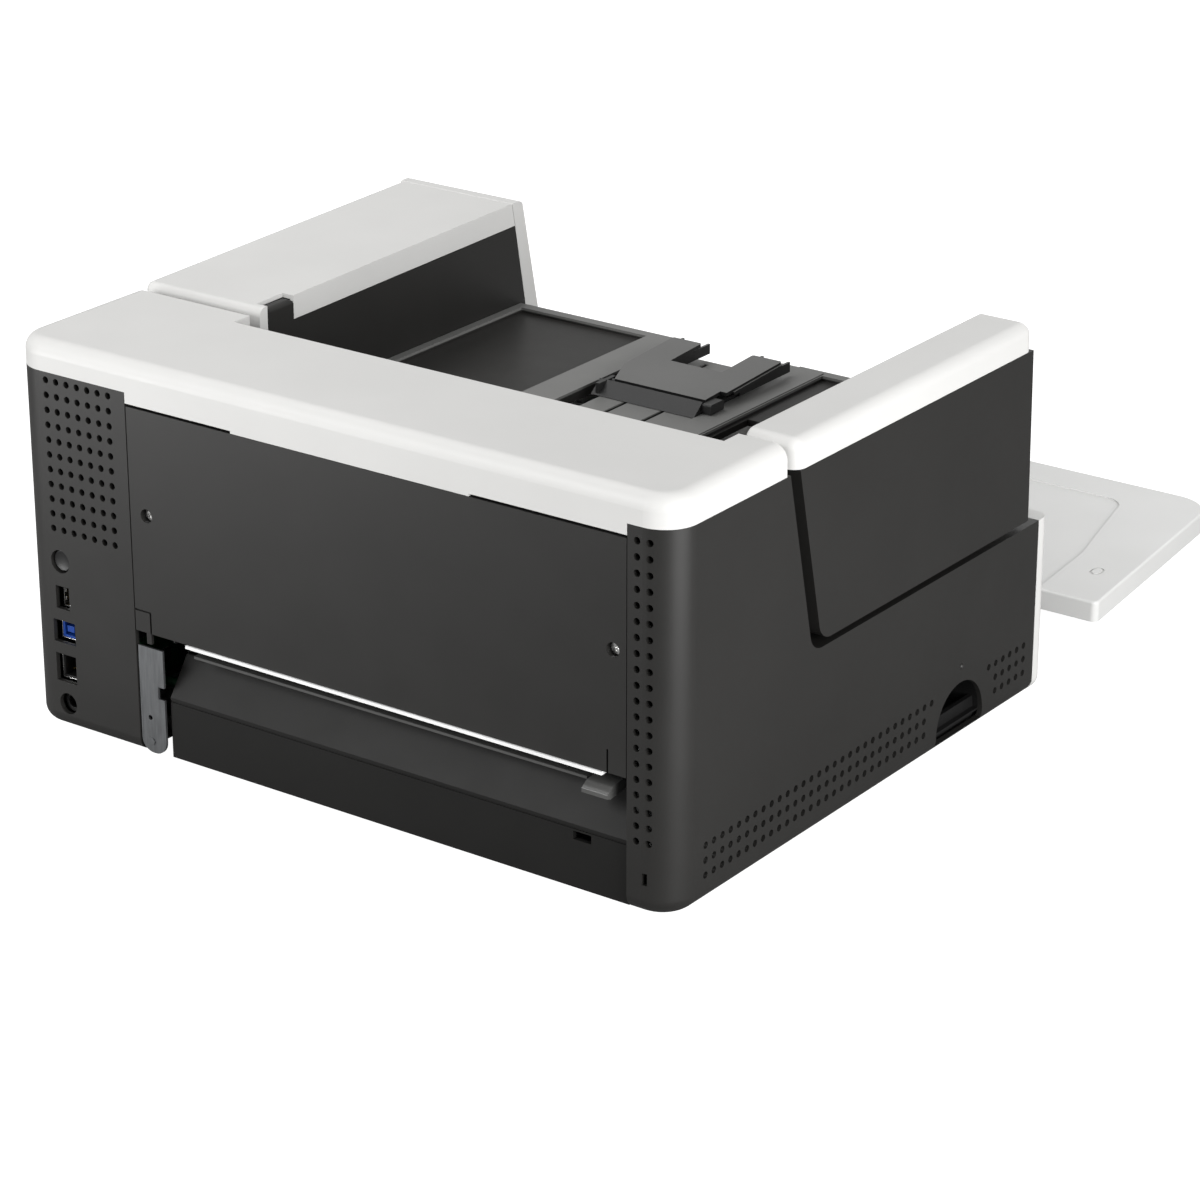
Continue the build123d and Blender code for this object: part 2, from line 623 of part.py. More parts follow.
def left_pod_housing():
    housing = pod_housing(-HALF_W, POD_L, [(POD_FRONT, COVER_Z), (POD_FRONT - 2, POD_BOTTOM + 10)])
    arm_slot = block(-208.6, -203.9, 40, 85, ARM_SLOT_Z + 1, 201)
    return housing - arm_slot


def seam_y(z):
    """The wide pod's front seam at height z, above its knee."""
    lean = (BEZEL_SEAM_TOP - BEZEL_KNEE_Y) / (POD_TOP_RF - BEZEL_KNEE_Z)
    return BEZEL_KNEE_Y + (z - BEZEL_KNEE_Z) * lean


def right_pod_housing():
    front = [(seam_y(COVER_Z), COVER_Z), (BEZEL_KNEE_Y, BEZEL_KNEE_Z), (BEZEL_KNEE_Y, POD_BOTTOM + 10)]
    housing = pod_housing(POD_R, HALF_W, front)
    rise = [(seam_y(COVER_Z - 2), COVER_Z - 2), (44, COVER_Z - 2), (44, 227.8), (seam_y(231.5), 231.5)]
    housing += prism_x(rise, POD_R, POD_R + 2.5)
    filler = block(POD_R - 0.5, POD_R + 7.8, 44.3, 66.7, COVER_Z - 6, POD_TOP_R - 1.5)
    filler = fillet(edges_at(filler, POD_TOP_R - 1.5), 3.0)
    arm_slot = block(146.4, 151.1, 40, 85, ARM_SLOT_Z + 1, 201)
    return housing + filler - arm_slot


def left_pod_block(inset):
    """Solid of the narrow pod's cover: crisp towards the deck, well rounded elsewhere."""
    x0, x1, top = -HALF_W + inset, POD_L - inset, POD_TOP_L - inset
    solid = block(x0, x1, POD_FRONT + inset, 74 - inset, COVER_Z - inset, top)
    solid = fillet(solid.edges().filter_by(Axis.Z).sort_by(Axis.X)[:2], 8.0 - inset)
    outer = [e for e in edges_at(solid, top) if e.center().X < x1 - 1]
    solid = fillet(outer, 7.0 - inset)
    crease = [e for e in solid.edges() if abs(e.center().X - x1) < 0.01 and e.center().Z > top - 1]
    return fillet(crease, 1.6)


def left_pod_cover():
    return left_pod_block(0) - left_pod_block(2.5)


def right_pod_block(inset):
    """Solid of the wide pod's cover, whose top rises to the front."""
    rear, low = 74 - inset, COVER_Z - inset
    points = [
        (seam_y(low) + inset, low), (rear, low), (rear, POD_TOP_R - inset),
        (BEZEL_SEAM_TOP + inset, POD_TOP_RF - inset),
    ]
    solid = prism_x(points, POD_R + inset, HALF_W - inset, [(2, 5.0 - inset)])
    crest = [
        e for e in solid.edges()
        if e.center().Z > POD_TOP_R - inset - 6 and abs(e.center().X - HALF_W + inset) < 0.1
    ]
    return fillet(crest, 4.0 - inset)


def right_pod_cover():
    """Light top of the wide pod; its inner skirt is shorter and stops before the rear corner."""
    shell = right_pod_block(0) - right_pod_block(2.5)
    skirt = [(-190, COVER_Z - 1), (44, COVER_Z - 1), (44, 228.1), (-190, 232.2)]
    inner_skirt = prism_x(skirt, POD_R - 1, POD_R + 2.7)
    corner = block(POD_R - 1, POD_R + 8, 44, 67, COVER_Z - 1, POD_TOP_R + 3)
    return shell - inner_skirt - corner


def screen_bezel():
    """Light sloping front of the wide pod, with the opening for the touch screen."""
    gap = 0.4
    points = [
        (BEZEL_KNEE_Y - gap, POD_BOTTOM), (BEZEL_KNEE_Y - gap, BEZEL_KNEE_Z),
        (BEZEL_SEAM_TOP - gap, POD_TOP_RF), (BEZEL_TOP_Y, POD_TOP_RF),
        (BEZEL_LOW_Y, 172), (BEZEL_LOW_Y - 2, POD_BOTTOM),
    ]
    bezel = prism_x(points, POD_R, HALF_W, [(2, 0.8), (3, 4), (5, 3)])
    return bezel - screen_slab(0.25, 6.0)


def screen_slab(grow, depth):
    """Slab lying in the sloping bezel face: the touch screen itself, or the pocket for it."""
    lean = (BEZEL_TOP_Y - BEZEL_LOW_Y) / (POD_TOP_RF - 172)
    tilt = 90 - 12.1
    middle_z = 210
    face_y = BEZEL_LOW_Y + (middle_z - 172) * lean
    slab = Box(76 + 2 * grow, 58 + 2 * grow, depth)
    middle = (POD_R + HALF_W) / 2
    return Pos(middle, face_y, middle_z) * Rot(tilt, 0, 0) * Pos(0, 0, 0.3 - depth / 2) * slab


def touch_screen():
    return screen_slab(0.0, 3.0)


def front_cover():
    """Light front of the access cover between the pods, with a finger recess under its foot."""
    points = [
        (POD_FRONT - 2.4, POD_BOTTOM), (POD_FRONT - 2.4, DECK_Z - 3), (POD_FRONT - 8, DECK_Z - 1),
        (POD_FRONT - 14, POD_BOTTOM),
    ]
    cover = prism_x(points, POD_L, POD_R - 0.4, [(2, 3), (3, 3)])
    recess = block(XC - 45, XC + 45, POD_FRONT - 16, POD_FRONT - 5, POD_BOTTOM - 1, POD_BOTTOM + 14)
    hollows = [
        block(x0, x1, POD_FRONT - 9, POD_FRONT, POD_BOTTOM + WALL, DECK_Z - 6)
        for x0, x1 in ((POD_L + WALL, XC - 48), (XC + 48, POD_R - 3.4))
    ]
    notch = block(*NOTCH, POD_FRONT - 16, POD_FRONT, NOTCH_FOOT, DECK_Z + 1)
    return cover - recess - hollows - notch


def output_deck():
    """Output deck between the pods: two raised ribs, sunk panels and the lane of the stop."""
    deck = block(POD_L + 0.3, POD_R - 0.3, DECK_FRONT, DECK_REAR, DECK_Z - 7, DECK_Z)
    for near, far in ((POD_L + 6, RIBS[0] - 2.6), (RIBS[1] + 2, POD_R - 6)):
        deck -= block(near, far, DECK_FRONT + 7, DECK_REAR + 1, DECK_FLOOR, DECK_Z + 1)
    deck -= block(RIBS[0] - 2.0, RIBS[0] - 0.8, DECK_FRONT + 3, DECK_REAR + 1, DECK_FLOOR + 0.8, DECK_Z + 1)
    deck -= block(LANE[0], LANE_STRIPS, DECK_FRONT - 1, DECK_REAR + 1, LANE_Z, DECK_Z + 1)
    deck -= block(LANE_STRIPS, LANE[1], DECK_FRONT + 3, 40, DECK_Z - 8, DECK_Z + 1)
    deck -= block(-118, RIBS[0] - 5, -86, -30, DECK_Z - 8, DECK_Z + 1)
    deck -= block(*NOTCH, DECK_FRONT - 1, NOTCH_REAR, DECK_Z - 8, DECK_Z + 1)
    tracks = [block(x - TRACK_W / 2, x + TRACK_W / 2, -148, 40, DECK_Z - 8, DECK_Z) for x in TRACKS]
    return deck - tracks


def upper_paper_guide():
    """Floor of the access cover and the channel above the straight paper path, moulded together."""
    floor = block(POD_L + 0.4, POD_R - 0.4, POD_FRONT, 46, POD_BOTTOM, POD_BOTTOM + 2.5)
    outer = block(XC - 156, XC + 156, -138, 62, PATH_Z + 1.5, POD_BOTTOM + 3)
    inner = block(XC - 153.5, XC + 153.5, -140, 64, PATH_Z + 4, POD_BOTTOM + 4)
    brackets = [
        block(x, x + 4, FEED_Y - 7, FEED_Y + 7, 84, POD_BOTTOM + 3)
        for x in (XC - FEED_REACH, XC + FEED_REACH - 4)
    ]
    strap = block(XC - 156, XC + 156, FEED_Y - 9, FEED_Y + 9, POD_BOTTOM, POD_BOTTOM + 3)
    channel = outer + floor - inner + strap + brackets
    front = block(XC - 160, XC + 160, -139, -96, PATH_Z, PATH_Z + 5)
    windows = [block(XC - 118, XC + 118, y - 13, y + 13, 70, 84) for y in (FRONT_ROLLER_Y, MID_ROLLER_Y)]
    windows.append(block(XC - 150.5, XC + 150.5, -1.5, 24.5, 70, 84))
    windows.append(block(XC - 24, XC + 24, SEPARATION_Y - 8, SEPARATION_Y + 14, 70, 84))
    bores = [rod_x(XC - 160, XC + 160, y, z, SHAFT_R + RUN) for y, z in COVER_BORES]
    return channel - front - windows - bores


def pinch_roller_front():
    return moulded_roller(FRONT_ROLLER_Y, UPPER_AXLE_Z, PINCH_R, DRIVE_TIRES, 22, 156)


def pinch_roller_mid():
    return moulded_roller(MID_ROLLER_Y, UPPER_AXLE_Z, PINCH_R, DRIVE_TIRES, 22, 156)


def feed_roller():
    return moulded_roller(FEED_Y, FEED_Z, FEED_R, [-16, 16], 24, FEED_REACH)


def hinge_arm(x0, x1):
    """Cranked steel arm from a pod to its hinge pin."""
    strip = trace(Polyline((20, ARM_Z), (66, ARM_Z), (93, 198), (HINGE_Y, HINGE_Z)), 11)
    arm = extrude(Plane.YZ.offset(x0) * strip, x1 - x0) + rod_x(x0, x1, HINGE_Y, HINGE_Z, 8)
    return arm - rod_x(x0 - 1, x1 + 1, HINGE_Y, HINGE_Z, HINGE_R + RUN)


def hinge_arms():
    return Compound([hinge_arm(-207.7, -204.7), hinge_arm(147.2, 150.2)])


# ---- output stop --------------------------------------------------------------------------
def stop_carriage():
    """Sliding foot of the sheet stop: a low body on two keys that run in the lane's tracks."""
    left, right = STOP_X - STOP_HALF, STOP_X + STOP_HALF
    low, rear = LANE_Z + 0.4, STOP_PIN_Y + 14.5
    foot = block(left + 5.5, right - 7.5, -112, rear - 5, low, low + 1.7)
    wall = [
        (rear, low), (STOP_PIN_Y + 5.3, STOP_TOP - 1), (STOP_PIN_Y + 4.9, STOP_TOP - 1.8),
        (rear - 6, low + 3.4), (rear - 6, low),
    ]
    foot += prism_x(wall, left + 5, right)
    ear_y = (STOP_PIN_Y - 7.0, STOP_PIN_Y + 6.5)
    left_ear = block(left - 1.7, left + 4.1, *ear_y, DECK_Z + 0.5, STOP_TOP - 1.5)
    left_ear = fillet(left_ear.edges().filter_by(Axis.X).group_by(Axis.Z)[-1], 1.5)
    right_ear = block(right - 5.3, right - 2.7, STOP_PIN_Y - 3.5, rear - 1, low, STOP_TOP - 1.2)
    keys = [block(x - 1.2, x + 1.2, -108, -72, DECK_Z - 6, LANE_Z + 1) for x in TRACKS]
    pin = rod_x(left + 2, right - 3, STOP_PIN_Y, STOP_PIN_Z, STOP_PIN_R)
    bridge = block(left + 2, left + 6, STOP_PIN_Y + 4.9, rear - 8.2, DECK_Z + 0.5, STOP_TOP - 2.2)
    return foot + left_ear + right_ear + keys + pin + bridge


def stop_plate():
    """Flip-up stop: a tilted U-shaped plate with a deep finger notch and thin side walls."""
    left, right = STOP_X - STOP_HALF, STOP_X + STOP_HALF
    notch_l, notch_r = STOP_X - 18.5, STOP_X + 18.5
    root = STOP_FRONT + 33
    rear = STOP_PIN_Y + 3.3
    points = [
        (left, -90), (left, STOP_FRONT), (notch_l, STOP_FRONT), (notch_l, root),
        (notch_r, root), (notch_r, STOP_FRONT), (right, STOP_FRONT), (right, -97),
        (right - 9.4, rear), (left + 4.5, rear), (left + 4.5, -90),
    ]
    rounds = [(1, 1.5), (2, 1.5), (3, 1), (4, 1), (5, 1.5), (6, 1.5), (7, 2)]
    top = prism_z(points, STOP_TOP - 2.2, STOP_TOP, rounds)
    ledge = block(left - 1.2, left + 1.4, STOP_FRONT + 1.5, -96, STOP_TOP - 3.6, STOP_TOP - 1.4)
    ears = [
        block(x, x + 6, STOP_PIN_Y - 3, STOP_PIN_Y + 2.6, STOP_PIN_Z - 2.2, STOP_TOP - 1)
        for x in (STOP_X - 21, STOP_X + 15)
    ]
    pin_centre = Pos(STOP_X, STOP_PIN_Y, STOP_PIN_Z)
    tilt = pin_centre * Rot(-STOP_TILT, 0, 0) * pin_centre.inverse()
    walls = [
        block(x, x + 1.6, STOP_FRONT - 9, -104, LANE_Z + 3.4, STOP_TOP + 0.8)
        for x in (left + 0.2, notch_l - 1.8, notch_r + 0.2, right - 1.8)
    ]
    back = block(notch_l, notch_r, root + 0.4, root + 2, LANE_Z + 3.4, STOP_TOP)
    bore = rod_x(STOP_X - 60, STOP_X + 60, STOP_PIN_Y, STOP_PIN_Z, STOP_PIN_R + RUN)
    return tilt * (top + ledge + ears) + walls + back - bore


# ---- input elevator and tray --------------------------------------------------------------
def knuckles(spans, z=TRAY_PIN_Z):
    return [rod_x(XC + a, XC + b, TRAY_PIN_Y, z, KNUCKLE_R) for a, b in spans]


def elevator_platform():
    """Lifting platform with ears on the guide rods, guide slots and hinge knuckles in front."""
    plate = block(XC - LIFT_HALF, XC + LIFT_HALF, -209, -102, LIFT_Z0, LIFT_Z1)
    for side in (-1, 1):
        inner, outer = sorted((XC + side * 140, XC + side * 157.6))
        plate += block(inner, outer, ROD_Y - 9, ROD_Y + 9, LIFT_Z0, LIFT_Z1 + 5)
    for a, b in PLATFORM_KNUCKLES:
        plate += block(XC + a, XC + b, TRAY_PIN_Y, -208, LIFT_Z0, LIFT_Z1)
    plate += knuckles(PLATFORM_KNUCKLES)
    rods = [rod_z(XC + s * ROD_X, ROD_Y, 0, 60, ROD_R + RUN) for s in (-1, 1)]
    slots = [block(*sorted((XC + s * 30, XC + s * 136)), -157, -149, 10, 30) for s in (-1, 1)]
    pin = rod_x(XC - 121, XC + 121, TRAY_PIN_Y, TRAY_PIN_Z, TRAY_PIN_R)
    return plate - rods - slots + pin


def input_guide(side):
    """Upright side guide with a foot plate and a key in the platform's slot."""
    inner, outer = sorted((XC + side * 131.5, XC + side * 134.5))
    fence = block(inner, outer, -200, -105, LIFT_Z1 + 0.4, 52)
    fence = fillet(fence.edges().filter_by(Axis.X).group_by(Axis.Z)[-1], 8)
    foot_in, foot_out = sorted((XC + side * 104, XC + side * 133))
    foot = block(foot_in, foot_out, -170, -136, LIFT_Z1 + 0.4, LIFT_Z1 + 2.4)
    key_in, key_out = sorted((XC + side * 116, XC + side * 132))
    key = block(key_in, key_out, -156.4, -149.6, LIFT_Z0 + 0.5, LIFT_Z1 + 1)
    return fence + foot + key


def input_guide_left():
    return input_guide(-1)


def input_guide_right():
    return input_guide(1)


def input_tray():
    """Narrow inner tray on the elevator's hinge; the wide tray slides over it."""
    plate = block(XC - TRAY_HALF, XC + TRAY_HALF, -408, TRAY_PIN_Y - 5, 14.2, 19.4)
    spans = [(-98.5, -11.5), (11.5, 98.5)]
    for a, b in spans:
        plate += block(XC + a, XC + b, TRAY_PIN_Y - 6, TRAY_PIN_Y, 14.2, 18.8)
    plate += knuckles(spans)
    return plate - rod_x(XC - 130, XC + 130, TRAY_PIN_Y, TRAY_PIN_Z, TRAY_PIN_R + RUN)


def wing_outline():
    return [
        (XC - WING_HALF_FRONT, WING_FRONT), (XC - WING_HALF_REAR, WING_REAR),
        (XC + WING_HALF_REAR, WING_REAR), (XC + WING_HALF_FRONT, WING_FRONT),
    ]


def tray_extension():
    """Wide outer tray with rounded corners, a shallow sheet bed and a pocket for the inner tray."""
    tray = prism_z(wing_outline(), WING_Z0, WING_Z1, [(0, 28), (1, 4), (2, 4), (3, 28)])
    tray = fillet(edges_at(tray, WING_Z1), 1.6)
    pocket = block(XC - TRAY_HALF - 0.5, XC + TRAY_HALF + 0.5, WING_FRONT + 10, WING_REAR + 1, 13.8, 19.8)
    bed = [
        (XC - 148, WING_REAR + 1), (XC - 141, -358), (XC - 117, -455),
        (XC + 117, -455), (XC + 141, -358), (XC + 148, WING_REAR + 1),
    ]
    sunk = prism_z(bed, WING_Z1 - 0.9, WING_Z1 + 1, [(1, 60), (2, 16), (3, 16), (4, 60)])
    tray -= sunk
    for side in (-1, 1):
        rim = Pos(XC + side * 164, -335.5, WING_Z1) * Ellipse(4.2, 6.2)
        tray -= extrude(rim, -0.8)
        tray += Pos(XC + side * 164, -335.5, WING_Z1 - 0.9) * extrude(Ellipse(2.8, 4.6), 1.1)
    return tray - pocket


# ---- lower front --------------------------------------------------------------------------
def front_bezel():
    """Light U-shaped bezel round the input opening; its foot curls under the side panels' corners."""
    rear, low = FRONT_Y - 0.4, SHELL_Z + 0.7
    opening_l, opening_r = XC - 152, XC + 152
    bezel = block(-HALF_W, HALF_W, BEZEL_FRONT_Y, rear + 4, low, SEAM_Z)
    bezel = fillet(bezel.edges().filter_by(Axis.Z).group_by(Axis.Y)[0], 8)
    bezel = fillet(edges_at(bezel, low).group_by(Axis.Y)[0], 7.5)
    under = SHELL_Z - 1.4
    behind = [(rear, SEAM_Z + 1), (rear, under), (rear + 20, under), (rear + 20, SEAM_Z + 1)]
    bezel -= prism_x(behind, -HALF_W - 1, HALF_W + 1, [(1, 9.4)])
    opening = block(opening_l, opening_r, BEZEL_FRONT_Y - 1, FRONT_Y + 9, 12.6, SEAM_Z + 1)
    hollows = [
        block(x0, x1, BEZEL_FRONT_Y + WALL, FRONT_Y, 14, SEAM_Z - WALL)
        for x0, x1 in ((WALL - HALF_W, opening_l - WALL), (opening_r + WALL, HALF_W - WALL))
    ]
    return bezel - opening - hollows


# ---- rear exit gate, button and ports -----------------------------------------------------
def exit_gate():
    """Clear strip under the straight exit, on a pivot bar with a lever at its left end."""
    blade = prism_x([(166, 68.2), (181, 68.6), (181, 70.2), (166, 71)], -170, 106)
    bar = rod_x(-193.5, 112, GATE_Y, GATE_Z, GATE_BAR_R)
    return blade + bar


def gate_lever():
    """Triangular thumb lever on the end of the gate's pivot bar."""
    tip = REAR_Y + 2
    points = [(164, 66.4), (tip - 3, 64), (tip, 65), (tip, 67.5), (tip - 5, 70.6), (171, 72.4), (164, 72)]
    lever = prism_x(points, -189.5, -172.6, [(0, 1.5), (1, 1), (3, 0.8), (4, 3), (6, 1.5)])
    return lever - rod_x(-200, -160, GATE_Y, GATE_Z, GATE_BAR_R)


def power_button():
    """Round push button, sunk a little in the wall, with a collar inside."""
    cap = rod_y(BUTTON_X, REAR_Y - 7, REAR_Y - 2.0, BUTTON_Z, BUTTON_R)
    cap = fillet(cap.edges().group_by(Axis.Y)[-1], 0.8)
    dish = Pos(BUTTON_X, REAR_Y + 18.2, BUTTON_Z) * Sphere(21)
    collar = rod_y(BUTTON_X, REAR_Y - 7, REAR_Y - 5.2, BUTTON_Z, BUTTON_R + 2)
    return cap - dish + collar


def socket_shell(half_w, z0, z1, depth, skin):
    """Open-mouthed shell of a socket on the board, its mouth at PORT_FACE."""
    left, right, back = PORT_X - half_w, PORT_X + half_w, PORT_FACE - depth
    shell = block(left, right, back, PORT_FACE, z0, z1)
    cavity = block(left + skin, right - skin, back + skin, PORT_FACE + 1, z0 + skin, z1 - skin)
    foot = block(BOARD_FACE, left, back, PORT_FACE - 5, z0 + 0.5, z1 - 0.5)
    return shell - cavity + foot


def usb_a_port():
    tongue = block(PORT_X - 2.2, PORT_X - 0.4, PORT_FACE - 13.8, PORT_FACE - 1.5, 79.9, 91.1)
    return socket_shell(3.2, 78.8, 92.2, 14, 0.6) + tongue


def usb_b_port():
    tongue = block(PORT_X - 2.7, PORT_X + 2.7, PORT_FACE - 15.5, PORT_FACE - 1.5, 62.3, 65.9)
    return socket_shell(6.0, 58.3, 70.2, 16, 1.2) + tongue


def ethernet_port():
    return socket_shell(7.2, 32.9, 49.3, 18, 1.6)


def dc_inlet():
    back = PORT_FACE - 13
    barrel = rod_y(PORT_X, back, PORT_FACE, 18.6, 6.0) + block(BOARD_FACE, PORT_X, back, back + 8, 14, 23)
    bore = rod_y(PORT_X, back + 1.5, PORT_FACE + 1, 18.6, 3.9)
    return barrel - bore + rod_y(PORT_X, back + 1, PORT_FACE - 2, 18.6, 1.2)


def rear_sockets():
    """The four sockets behind the rear column, from the USB sockets down to the power inlet."""
    return Compound([usb_a_port(), usb_b_port(), ethernet_port(), dc_inlet()])


def main_board():
    """Circuit board that the rear sockets stand on, with the power switch and its standoffs."""
    board = block(BOARD_FACE - 1.6, BOARD_FACE, 40, 179, 16, 104)
    switch = block(BOARD_FACE - 0.2, BUTTON_X + 7, 164, REAR_Y - 9.5, BUTTON_Z - 7, BUTTON_Z + 6)
    standoffs = [rod_x(XC + PLATE_OUT, 189, y, z, 3) for y in (60, 140) for z in (26, 75)]
    return board + switch + standoffs


PARTS = [
    left_side_panel, right_side_panel, right_rear_column, handle_cups, rear_top_cover, rear_panel,
    panel_screws, exit_lip, rear_base_cover, frame_bracket, output_slot_panel, turn_guides, base_pan,
    feet, frame_plate_left, frame_plate_right, shaft_bushes, hinge_pins, guide_rods, lower_paper_guide,
    lower_image_module, lower_glass, front_roller_shaft, front_roller_tires, mid_roller_shaft,
    mid_roller_tires, output_roller, output_pinch_roller, separation_roller, drive_motor, motor_pulley,
    drive_belt, front_bezel, exit_gate, gate_lever, power_button, rear_sockets, main_board,
    left_pod_housing, right_pod_housing, left_pod_cover, right_pod_cover, screen_bezel, touch_screen,
    front_cover, output_deck, upper_paper_guide, upper_image_module, upper_glass, pinch_roller_front,
    pinch_roller_mid, feed_roller, hinge_arms, stop_carriage, stop_plate, elevator_platform,
    input_guide_left, input_guide_right, input_tray, tray_extension,
]

for make in PARTS:
    export_step(Pos(0, -LENGTH_MIDDLE, 0) * make(), f"parts/{make.__name__}.step")
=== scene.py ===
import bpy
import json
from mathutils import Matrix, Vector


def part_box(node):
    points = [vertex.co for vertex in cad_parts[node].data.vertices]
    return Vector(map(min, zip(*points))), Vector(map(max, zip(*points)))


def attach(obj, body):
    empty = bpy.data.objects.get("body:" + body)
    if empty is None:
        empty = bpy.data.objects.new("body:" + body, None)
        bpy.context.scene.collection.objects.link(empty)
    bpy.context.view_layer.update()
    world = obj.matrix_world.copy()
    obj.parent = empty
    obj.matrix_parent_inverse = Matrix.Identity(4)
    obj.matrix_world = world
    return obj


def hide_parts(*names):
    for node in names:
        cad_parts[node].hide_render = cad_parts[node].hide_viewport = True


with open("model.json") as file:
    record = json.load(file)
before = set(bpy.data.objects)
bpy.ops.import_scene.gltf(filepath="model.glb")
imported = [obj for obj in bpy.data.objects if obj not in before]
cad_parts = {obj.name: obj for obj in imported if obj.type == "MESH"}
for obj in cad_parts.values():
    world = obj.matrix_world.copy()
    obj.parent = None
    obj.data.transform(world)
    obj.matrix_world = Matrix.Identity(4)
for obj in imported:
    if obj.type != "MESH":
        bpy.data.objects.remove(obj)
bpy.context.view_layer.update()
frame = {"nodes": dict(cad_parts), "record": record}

import json
import math

import bmesh
import bpy
from mathutils import Matrix, Vector

MM = 0.001


# ---- material helpers ---------------------------------------------------------------------
def new_material(name):
    """An empty node material and its shader."""
    material = bpy.data.materials.new(name)
    material.use_nodes = True
    return material, material.node_tree, material.node_tree.nodes["Principled BSDF"]


def coordinates(tree):
    """The piece's own metres, shared by all the textures of one material."""
    for node in tree.nodes:
        if node.type == "TEX_COORD":
            return node.outputs["Object"]
    return tree.nodes.new("ShaderNodeTexCoord").outputs["Object"]


def noise(tree, scale, detail=2.0, coords=None):
    node = tree.nodes.new("ShaderNodeTexNoise")
    node.inputs["Scale"].default_value = scale
    node.inputs["Detail"].default_value = detail
    tree.links.new(coords or coordinates(tree), node.inputs["Vector"])
    return node.outputs["Fac"]


def blend_colours(tree, factor, low, high, low_at=0.35, high_at=0.65):
    ramp = tree.nodes.new("ShaderNodeValToRGB")
    ramp.color_ramp.elements[0].position = low_at
    ramp.color_ramp.elements[1].position = high_at
    ramp.color_ramp.elements[0].color = (*low, 1)
    ramp.color_ramp.elements[1].color = (*high, 1)
    tree.links.new(factor, ramp.inputs["Fac"])
    return ramp.outputs["Color"]


def value_range(tree, factor, low, high, start=0.0, end=1.0):
    node = tree.nodes.new("ShaderNodeMapRange")
    node.inputs["From Min"].default_value = start
    node.inputs["From Max"].default_value = end
    node.inputs["To Min"].default_value = low
    node.inputs["To Max"].default_value = high
    tree.links.new(factor, node.inputs["Value"])
    return node.outputs["Result"]


def bump(tree, shader, height, strength, distance):
    node = tree.nodes.new("ShaderNodeBump")
    node.inputs["Strength"].default_value = strength
    node.inputs["Distance"].default_value = distance
    tree.links.new(height, node.inputs["Height"])
    tree.links.new(node.outputs["Normal"], shader.inputs["Normal"])


def height_mask(tree, z, blur=0.0003):
    """0 below height z of the piece and 1 above it."""
    split = tree.nodes.new("ShaderNodeSeparateXYZ")
    tree.links.new(coordinates(tree), split.inputs["Vector"])
    return value_range(tree, split.outputs["Z"], 0.0, 1.0, z - blur, z + blur)


def mix_colours(tree, factor, low, high):
    node = tree.nodes.new("ShaderNodeMixRGB")
    tree.links.new(factor, node.inputs["Fac"])
    tree.links.new(low, node.inputs["Color1"])
    tree.links.new(high, node.inputs["Color2"])
    return node.outputs["Color"]


def tinted(colour, factor):
    return tuple(min(1.0, channel * factor) for channel in colour)


def mottled(tree, colour, amount):
    """The colour with faint cloudy variation."""
    cloud = noise(tree, 14.0, 3.0)
    return blend_colours(tree, cloud, tinted(colour, 1 - amount), tinted(colour, 1 + amount))


# ---- materials ----------------------------------------------------------------------------
def moulded_plastic(name, colour, roughness, relief=0.00004, mottling=0.05, coat=0.0, gloss=0.4):
    """Spark-eroded moulded plastic: fine grain, faint mottling and uneven gloss."""
    material, tree, shader = new_material(name)
    tree.links.new(mottled(tree, colour, mottling), shader.inputs["Base Color"])
    gloss_patches = value_range(tree, noise(tree, 38.0, 4.0), roughness - 0.05, roughness + 0.07)
    tree.links.new(gloss_patches, shader.inputs["Roughness"])
    bump(tree, shader, noise(tree, 2600.0, 2.0), 0.35, relief)
    shader.inputs["Specular IOR Level"].default_value = gloss
    shader.inputs["Coat Weight"].default_value = coat
    shader.inputs["Coat Roughness"].default_value = 0.25
    return material


def deck_plastic_painted_light(name, sunk_painted_shade, raised_painted_lit, level):
    """Dark moulding with painted light: its raised ribs are painted lighter as if lit and its sunk panels
    darker as painted shade.
    """
    material, tree, shader = new_material(name)
    # painted light: parts above the level get the lighter colour as a painted highlight, parts below get
    # the darker colour as painted shade
    raised_mask_painted_lit = height_mask(tree, level)
    colours = mix_colours(tree, raised_mask_painted_lit, mottled(tree, sunk_painted_shade, 0.05), mottled(tree, raised_painted_lit, 0.04))
    tree.links.new(colours, shader.inputs["Base Color"])
    tree.links.new(value_range(tree, noise(tree, 30.0, 4.0), 0.36, 0.5), shader.inputs["Roughness"])
    bump(tree, shader, noise(tree, 1800.0, 3.0), 0.4, 0.00006)
    shader.inputs["Specular IOR Level"].default_value = 0.35
    return material


def faced_plastic_painted_light(name, top, side):
    """Dark moulding with painted light: its upward faces are painted lighter as if lit, its edges and walls
    darker as painted shade.
    """
    material, tree, shader = new_material(name)
    split = tree.nodes.new("ShaderNodeSeparateXYZ")
    tree.links.new(coordinates(tree).node.outputs["Normal"], split.inputs["Vector"])
    # painted light: upward-facing faces take the top colour as if lit, all other faces take the side colour
    # as painted shade
    upward_painted_lit = value_range(tree, split.outputs["Z"], 0.0, 1.0, 0.80, 0.97)
    colours = mix_colours(tree, upward_painted_lit, mottled(tree, side, 0.05), mottled(tree, top, 0.05))
    tree.links.new(colours, shader.inputs["Base Color"])
    tree.links.new(value_range(tree, noise(tree, 30.0, 4.0), 0.36, 0.5), shader.inputs["Roughness"])
    bump(tree, shader, noise(tree, 1800.0, 3.0), 0.4, 0.00006)
    shader.inputs["Specular IOR Level"].default_value = 0.3
    return material


